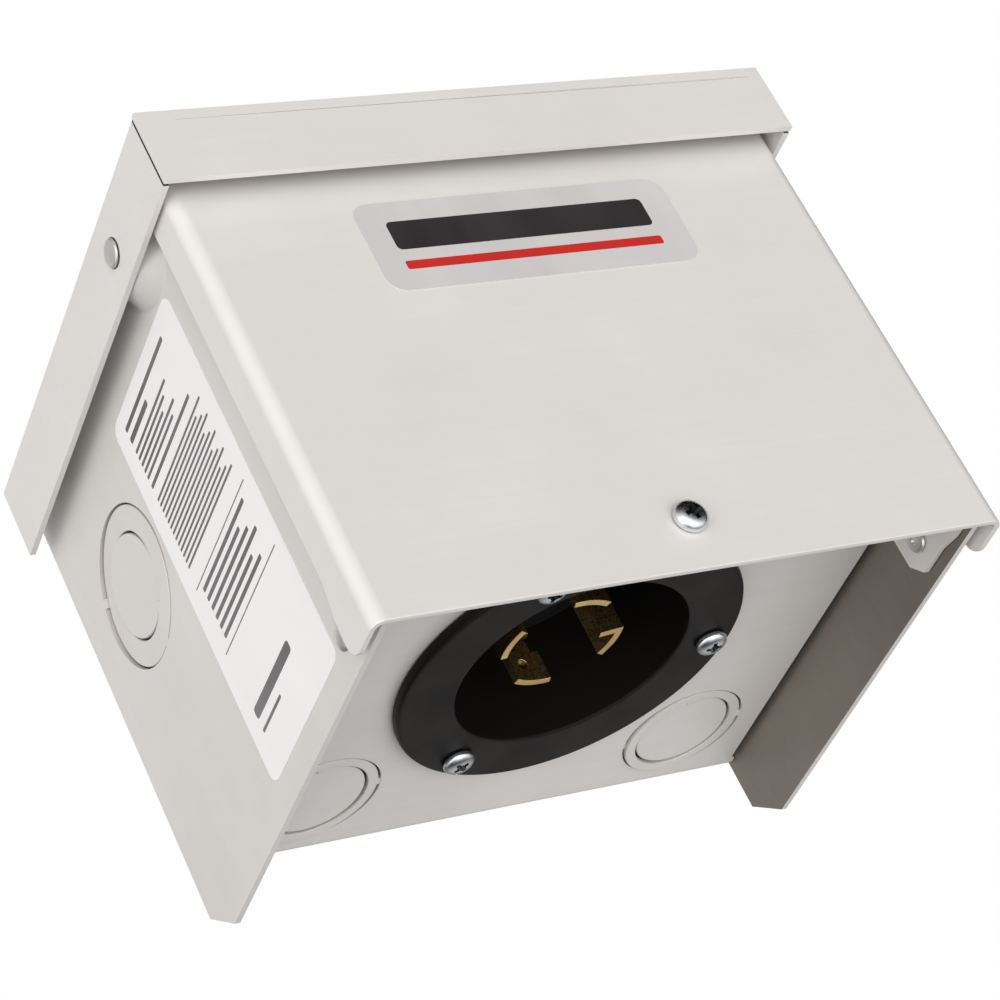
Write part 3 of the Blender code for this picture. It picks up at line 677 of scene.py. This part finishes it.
def phillips(place, head_r, head_h, shank_r, length):
    """Pan-head screw, local +Z out of the head, z = 0 under the head."""
    crown = [(0, head_h)]
    crown += [(head_r * 0.30, head_h * 0.985), (head_r * 0.55, head_h * 0.93), (head_r * 0.75, head_h * 0.82)]
    crown += [(head_r * 0.89, head_h * 0.66), (head_r * 0.97, head_h * 0.47), (head_r, head_h * 0.30)]
    crown += [(head_r, 0.12), (head_r - 0.12, 0), (shank_r, 0)]
    turns = int((length - 1.2) / PITCH)
    for index in range(turns):
        z = -0.5 - PITCH * index
        crown += [(shank_r, z), (shank_r - 0.28, z - PITCH / 2)]
    crown += [(shank_r - 0.25, -length + 0.5), (shank_r - 0.8, -length), (0, -length)]
    screw = turned(crown, place, 48)
    arm, half, floor = head_r * RECESS_REACH, head_r * 0.13, head_h * 0.12

    def wing(angle):
        """Tapered wing of the cross recess."""
        shape = bmesh.new()
        top_z = head_h + 0.6
        rings = []
        for z, reach, width in ((floor, arm * 0.35, half * 0.75), (top_z, arm * 1.12, half * 1.12)):
            rings.append([shape.verts.new(place @ spin(angle, "Z") @ Vector((x, y, z))) for x, y in (
                (-reach, -width), (reach, -width), (reach, width), (-reach, width))])
        shape.faces.new(rings[0])
        shape.faces.new(rings[1])
        for index in range(4):
            after = (index + 1) % 4
            shape.faces.new((rings[0][index], rings[0][after], rings[1][after], rings[1][index]))
        return work_object(shape)

    cone = turned(
        [(0, head_h + 0.6), (head_r * 0.36, head_h + 0.6), (head_r * 0.15, floor), (0, floor - 0.2)],
        place @ spin(22, "Z"), 12,
    )
    cut(screw, wing(12), wing(102), cone)
    return break_edges(screw, 0.07, 35, 2)


def fastener(name, place, head, shank, body, node):
    """Screw as a visible piece, with its cross recess in a darker metal that is painted shade."""
    obj = piece(name, [phillips(place, *head, *shank)], ZINC, body, [node])
    obj.data.materials.append(SCREW_RECESS_SHADE)
    # Faces deep in the cross recess get the near-black metal as painted shade
    local = (Matrix.Scale(MM, 4) @ place).inverted()
    head_r, head_h = head
    for face in obj.data.polygons:
        spot = local @ face.center
        reach = math.hypot(spot.x, spot.y)
        crown = head_h * (1 - 0.25 * (reach / head_r) ** 2)
        if 0 < spot.z < crown - RECESS_EDGE and reach < head_r * (RECESS_REACH + 0.1):
            face.material_index = 1
    return obj


def screws():
    head_r = (SCREW_HIGH.x - SCREW_LOW.x) / 2
    place = facing((SCREW_X, FRONT - 0.3, SCREW_Z), "-Y")
    head = (head_r, COVER_SCREW_HEAD_H)
    fastener("cover_screw_head", place, head, COVER_SCREW_SHANK, "cover_screw", "cover_screw")
    face = INLET_LOW.z - 0.3
    for index, (x, y) in enumerate(inlet_screw_spots()):
        place = facing((x, y, face), "-Z") @ spin(35 * index, "Z")
        name, node = f"inlet_screw_head_{index + 1}", f"inlet_screw_{index + 1}"
        fastener(name, place, INLET_SCREW_HEAD, INLET_SCREW_SHANK, "box", node)


def rivet(name, node, place, grip, shank_r, profile):
    """Rivet: a formed head outside, a plain shank and an upset tail."""
    tail = -grip - 1.1
    profile = list(profile) + [
        (shank_r, 0.3), (shank_r, -grip - 0.3), (shank_r + 0.7, -grip - 0.3), (shank_r + 0.9, -grip - 0.5),
        (shank_r + 0.75, tail + 0.1), (shank_r + 0.2, tail), (1.0, tail), (0.7, tail + 0.6), (0, tail + 0.7),
    ]
    return piece(name, [turned(profile, place, 40)], RIVET, "box", [node])


def rivets():
    hood_half = HOOD_HIGH.x
    for side, word in ((-1, "left"), (1, "right")):
        axis = "X" if side > 0 else "-X"
        flat = [(0, 0.80), (2.4, 0.78), (2.8, 0.72), (2.98, 0.60), (3.02, 0.45), (3.02, 0.3)]
        rivet(f"hood_rivet_head_{word}", f"hood_rivet_{word}",
              facing((side * hood_half, RIVET_Y, RIVET_Z), axis), 2 * SHEET + 0.3, 2.0, flat)
        dome = [(0, 1.1), (0.9, 1.06), (1.8, 0.92), (2.5, 0.68), (2.9, 0.42), (3.0, 0.3)]
        rivet(f"ear_rivet_head_{word}", f"ear_rivet_{word}",
              facing((side * WALL_OUT, EAR_RIVET_Y, EAR_RIVET_Z), axis), 2 * SHEET + 0.3, 1.6, dome)


# ---------------------------------------------------------------- inlet

OPENING_R = 25.8
CUP_WALL = 2.4
BLADE_R, BLADE_W, BLADE_T = 13.2, 9.0, 1.6
BLADE_TURN = 10.0           # degrees from +X to a blade
BLADE_PLAY = 0.35           # carrier's slot round a blade
NIB = 3.6                   # ground blade's inward foot
BLADES = ("hot_x", "neutral", "hot_y", "ground")


def inlet_housing():
    """Moulded flange and cup, with a hole for each screw."""
    face = INLET_LOW.z
    top = face + 2.4
    flange_r = (INLET_HIGH.x - INLET_LOW.x) / 2
    cup_top = INLET_HIGH.z
    cup_r = OPENING_R + CUP_WALL
    profile = [(OPENING_R, cup_top), (cup_r, cup_top), (cup_r, top), (flange_r - 0.2, top)]
    profile += [(flange_r, top - 0.2), (flange_r, face + 0.9)]
    profile += [(flange_r - 0.35, face + 0.3), (flange_r - 1.1, face)]
    profile += [(OPENING_R + 0.9, face), (OPENING_R + 0.25, face + 0.2), (OPENING_R, face + 0.75)]
    profile += [(OPENING_R, -31.0), (OPENING_R, cup_top + 3)]
    housing = turned(profile, shift(0, INLET_Y, 0), 128)
    for x, y in inlet_screw_spots():
        cut(housing, rod(INLET_SCREW_HOLE_R, -5, 5, shift(x, y, face), 32))
    break_edges(housing, 0.15, 40, 2)
    return piece("inlet_flange", [housing], NYLON, "box", ["inlet_housing"])


def blade_outline(angle, margin, nib):
    middle = math.radians(angle)
    inner = BLADE_R - BLADE_T / 2 - margin
    outer = BLADE_R + BLADE_T / 2 + margin
    spread = (BLADE_W / 2 + margin) / BLADE_R
    steps = 12
    angles = [middle + spread * (2 * step / steps - 1) for step in range(steps + 1)]

    def ring(radius, turns):
        return [(radius * math.cos(a), INLET_Y + radius * math.sin(a)) for a in turns]

    inside = ring(inner, angles[::-1])
    if nib:
        foot = inner - nib
        across = BLADE_T + 2 * margin
        kept = [a for a in angles[::-1] if a > angles[0] + across / inner + 0.02]
        inside = ring(inner, kept + [angles[0] + across / inner])
        inside += ring(foot, [angles[0] + across / foot, angles[0]])
    return ring(outer, angles) + inside


def contacts():
    low, high = CARRIER_LOW.z, CARRIER_HIGH.z
    carrier = rod(OPENING_R - 0.3, low, high, shift(0, INLET_Y, 0), 96)
    tip = corners("blade_ground")[0].z
    for index, name in enumerate(BLADES):
        angle = BLADE_TURN + 90 * (index + 1)
        nib = NIB if name == "ground" else 0
        blade = prism(blade_outline(angle, 0, nib), tip, high + 4.0)
        cut(carrier, prism(blade_outline(angle, BLADE_PLAY, nib), low - 3, high + 3))
        radial = shift(0, INLET_Y, 0) @ spin(angle, "Z")
        cut(blade, rod(1.25, 6, 20, radial @ shift(0, 0.6, tip + 4.2) @ AXIS_TURN["X"], 24))
        # Locking notch in the trailing edge
        cut(blade, block((6, -BLADE_W, tip + 7.0), (20, -BLADE_W / 2 + 1.9, tip + 11.5), radial))
        break_edges(blade, 0.3, 40, 3)
        piece(f"contact_blade_{name}", [blade], BRASS, "box", [f"blade_{name}"])
    recess = turned([(0, low + 1), (7.0, low + 1), (7.4, low - 1), (0, low - 1)], shift(0, INLET_Y, 0), 48)
    cut(carrier, recess)
    break_edges(carrier, 0.3, 40, 2)
    piece("contact_carrier_block", [carrier], CARRIER, "box", ["contact_carrier"])


# ---------------------------------------------------------------- films


def rounded_rectangle(centre, size, radius, steps=6):
    (u, v), (width, height) = centre, size
    points = []
    for x, y, start in ((1, 1, 0), (-1, 1, 90), (-1, -1, 180), (1, -1, 270)):
        spot = (u + x * (width / 2 - radius), v + y * (height / 2 - radius))
        points += arc(spot, radius, start, start + 90, steps)
    return points


def badge():
    """Silver film with a plain generic graphic: a dark band over a red rule."""
    width = BADGE_HIGH.x - BADGE_LOW.x
    height = BADGE_HIGH.z - BADGE_LOW.z
    x = (BADGE_HIGH.x + BADGE_LOW.x) / 2
    z = (BADGE_HIGH.z + BADGE_LOW.z) / 2
    ink = -FRONT + FILM
    film = prism(rounded_rectangle((x, z), (width, height), 4.0), -FRONT, ink, PLANE_XZ)
    break_edges(film, 0.05)
    piece("badge_film", [film], SILVER_FILM, "cover", ["front_badge"])
    band = prism(rounded_rectangle((x - 0.5, z + 2.6), (60, 7.4), 1.2), ink, ink + INK, PLANE_XZ)
    piece("badge_band", [band], BLACK_INK, "cover", [])
    rule = prism(rounded_rectangle((x - 0.5, z - 5.2), (60, 2.2), 0.5), ink, ink + INK, PLANE_XZ)
    piece("badge_rule", [rule], RED_INK, "cover", [])


def label():
    """White rating label with rows of plain bars in place of its print."""
    depth = LABEL_HIGH.y - LABEL_LOW.y
    height = LABEL_HIGH.z - LABEL_LOW.z
    y = (LABEL_HIGH.y + LABEL_LOW.y) / 2
    z = (LABEL_HIGH.z + LABEL_LOW.z) / 2
    ink = -WALL_OUT - FILM
    film = prism(rounded_rectangle((y, z), (depth, height), 3.0), ink, -WALL_OUT, PLANE_YZ)
    break_edges(film, 0.05)
    piece("label_film", [film], WHITE_FILM, "box", ["side_label"])

    def bar(v, start, stop, thick):
        """A bar across the label at height v; start and stop are shares of its depth."""
        u0 = LABEL_HIGH.y - start * depth
        u1 = LABEL_HIGH.y - stop * depth
        outline = rounded_rectangle(((u0 + u1) / 2, v), (abs(u0 - u1), thick), thick * 0.3, 2)
        return prism(outline, ink - INK, ink, PLANE_YZ)

    top = LABEL_HIGH.z
    rows = [(4.5, 0.12, 0.80, 1.2), (7.4, 0.12, 0.42, 1.5)]
    rows += [(10.4 + 1.7 * line, 0.12, 0.66 - 0.07 * (line % 3), 0.8) for line in range(5)]
    rows += [(19.6, 0.12, 0.80, 1.0)]
    rows += [(23.0 + 1.45 * line, 0.12, 0.88 - 0.05 * (line * 2 % 3), 0.65) for line in range(13)]
    rows += [(47.6 + 2.3 * line, 0.16, 0.84 - 0.07 * (line * 2 % 3), 1.1) for line in range(6)]
    rows += [(45.4, 0.10, 0.92, 0.3), (61.6, 0.10, 0.92, 0.3)]
    rows += [(77.0, 0.12, 0.66, 2.6), (81.0, 0.12, 0.40, 0.8)]
    parts = [bar(top - drop, start, stop, thick) for drop, start, stop, thick in rows]
    piece("label_print", parts, GREY_INK, "box", [])


# ---------------------------------------------------------------- room, light, camera

AIM = Vector((2.6, -59.0, -11.2)) * MM
CAMERA_AZIMUTH = -35.21
CAMERA_ELEVATION = -29.92
CAMERA_ROLL = 27.64
CAMERA_DISTANCE = 0.6983    # metres
LENS = 120.64
FLOOR_Z = -0.75             # metres


def direction(azimuth, elevation):
    """Unit vector from the object towards a viewer at these angles, in degrees."""
    a, e = math.radians(azimuth), math.radians(elevation)
    return Vector((math.sin(a) * math.cos(e), -math.cos(a) * math.cos(e), math.sin(e)))


def camera():
    data = bpy.data.cameras.new("camera")
    data.lens = LENS
    data.sensor_width = 36.0
    data.clip_start = 0.01
    view = -direction(CAMERA_AZIMUTH, CAMERA_ELEVATION)
    level = view.cross(Vector((0, 0, 1))).normalized()
    upright = level.cross(view)
    roll = math.radians(CAMERA_ROLL)
    up = upright * math.cos(roll) + level * math.sin(roll)
    right = level * math.cos(roll) - upright * math.sin(roll)
    obj = bpy.data.objects.new("camera", data)
    turn = Matrix((right, up, -view)).transposed().to_4x4()
    obj.matrix_world = Matrix.Translation(AIM - view * CAMERA_DISTANCE) @ turn
    bpy.context.scene.collection.objects.link(obj)
    bpy.context.scene.camera = obj


LOBE_SHARPNESS = 9.0
LOBES = (
    # azimuth, elevation, strength of each soft light round the object
    (315, 0, 0.98),
    (345, 0, 0.98),
    (280, 0, 1.15),
    (250, -5, 0.84),
    (180, 38, 0.98),
    (225, 38, 0.25),
    (270, 38, 0.38),
    (300, 30, 0.23),
    (20, -30, 0.98),
    (60, -30, 0.98),
    (140, -30, 0.57),
    (180, -30, 0.33),
    (290, -25, 0.98),
    (330, -25, 0.98),
    (355, -25, 0.98),
    (0, -60, 1.10),
)


def sky():
    """Soft light from broad lobes all round; the camera itself sees plain white."""
    world = bpy.data.worlds.new("studio")
    bpy.context.scene.world = world
    world.use_nodes = True
    tree = world.node_tree
    lit = tree.nodes["Background"]
    lit.inputs["Color"].default_value = (1.0, 0.985, 0.97, 1)
    where = tree.nodes.new("ShaderNodeTexCoord").outputs["Generated"]
    total = None
    for index, (azimuth, elevation, strength) in enumerate(LOBES):
        dot = tree.nodes.new("ShaderNodeVectorMath")
        dot.operation = "DOT_PRODUCT"
        dot.inputs[1].default_value = direction(azimuth, elevation)
        tree.links.new(where, dot.inputs[0])
        value = dot.outputs["Value"]
        for operation, number in (("MAXIMUM", 0.0), ("POWER", LOBE_SHARPNESS), ("MULTIPLY", strength)):
            step = tree.nodes.new("ShaderNodeMath")
            step.operation = operation
            step.inputs[1].default_value = number
            tree.links.new(value, step.inputs[0])
            value = step.outputs[0]
        step.name = f"lobe_{index}"
        if total is not None:
            adding = tree.nodes.new("ShaderNodeMath")
            adding.operation = "ADD"
            tree.links.new(total, adding.inputs[0])
            tree.links.new(value, adding.inputs[1])
            value = adding.outputs[0]
        total = value
    tree.links.new(total, lit.inputs["Strength"])
    seen = tree.nodes.new("ShaderNodeBackground")
    seen.inputs["Color"].default_value = (1, 1, 1, 1)
    mix = tree.nodes.new("ShaderNodeMixShader")
    rays = tree.nodes.new("ShaderNodeLightPath")
    tree.links.new(rays.outputs["Is Camera Ray"], mix.inputs[0])
    tree.links.new(lit.outputs[0], mix.inputs[1])
    tree.links.new(seen.outputs[0], mix.inputs[2])
    tree.links.new(mix.outputs[0], tree.nodes["World Output"].inputs["Surface"])


def studio():
    scene = bpy.context.scene
    scene.view_settings.view_transform = "Standard"
    sky()
    bpy.ops.mesh.primitive_plane_add(size=6, location=(0, 0, FLOOR_Z))
    floor = bpy.context.object
    floor.name = "floor"
    nodes = Nodes("pale_floor")
    nodes.shader.inputs["Roughness"].default_value = 0.8
    mottled = nodes.noise((8, 8, 8), 2.0)
    colour = nodes.blend(mottled, (0.86, 0.86, 0.86), (0.84, 0.84, 0.84))
    nodes.link(colour, nodes.shader.inputs["Base Color"])
    floor.data.materials.append(nodes.material)
    floor.visible_glossy = False
    floor.visible_diffuse = False
    floor.visible_shadow = False


CARRIED = {
    "terminal_hot_x": BRASS, "terminal_hot_y": BRASS, "terminal_neutral": BRASS,
    "terminal_ground": BRASS, "terminal_screw_hot_x": ZINC, "terminal_screw_hot_y": ZINC,
    "terminal_screw_neutral": ZINC, "terminal_screw_ground": GREEN, "ground_lug": ALUMINIUM_Y,
    "ground_screw": GREEN,
}


def carried_over():
    for node, material in CARRIED.items():
        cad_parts[node].material_slots[0].material = material


camera()
studio()
hood()
cover()
side_wall("wall_left", -1)
side_wall("wall_right", 1)
chassis()
screws()
rivets()
inlet_housing()
contacts()
badge()
label()
carried_over()
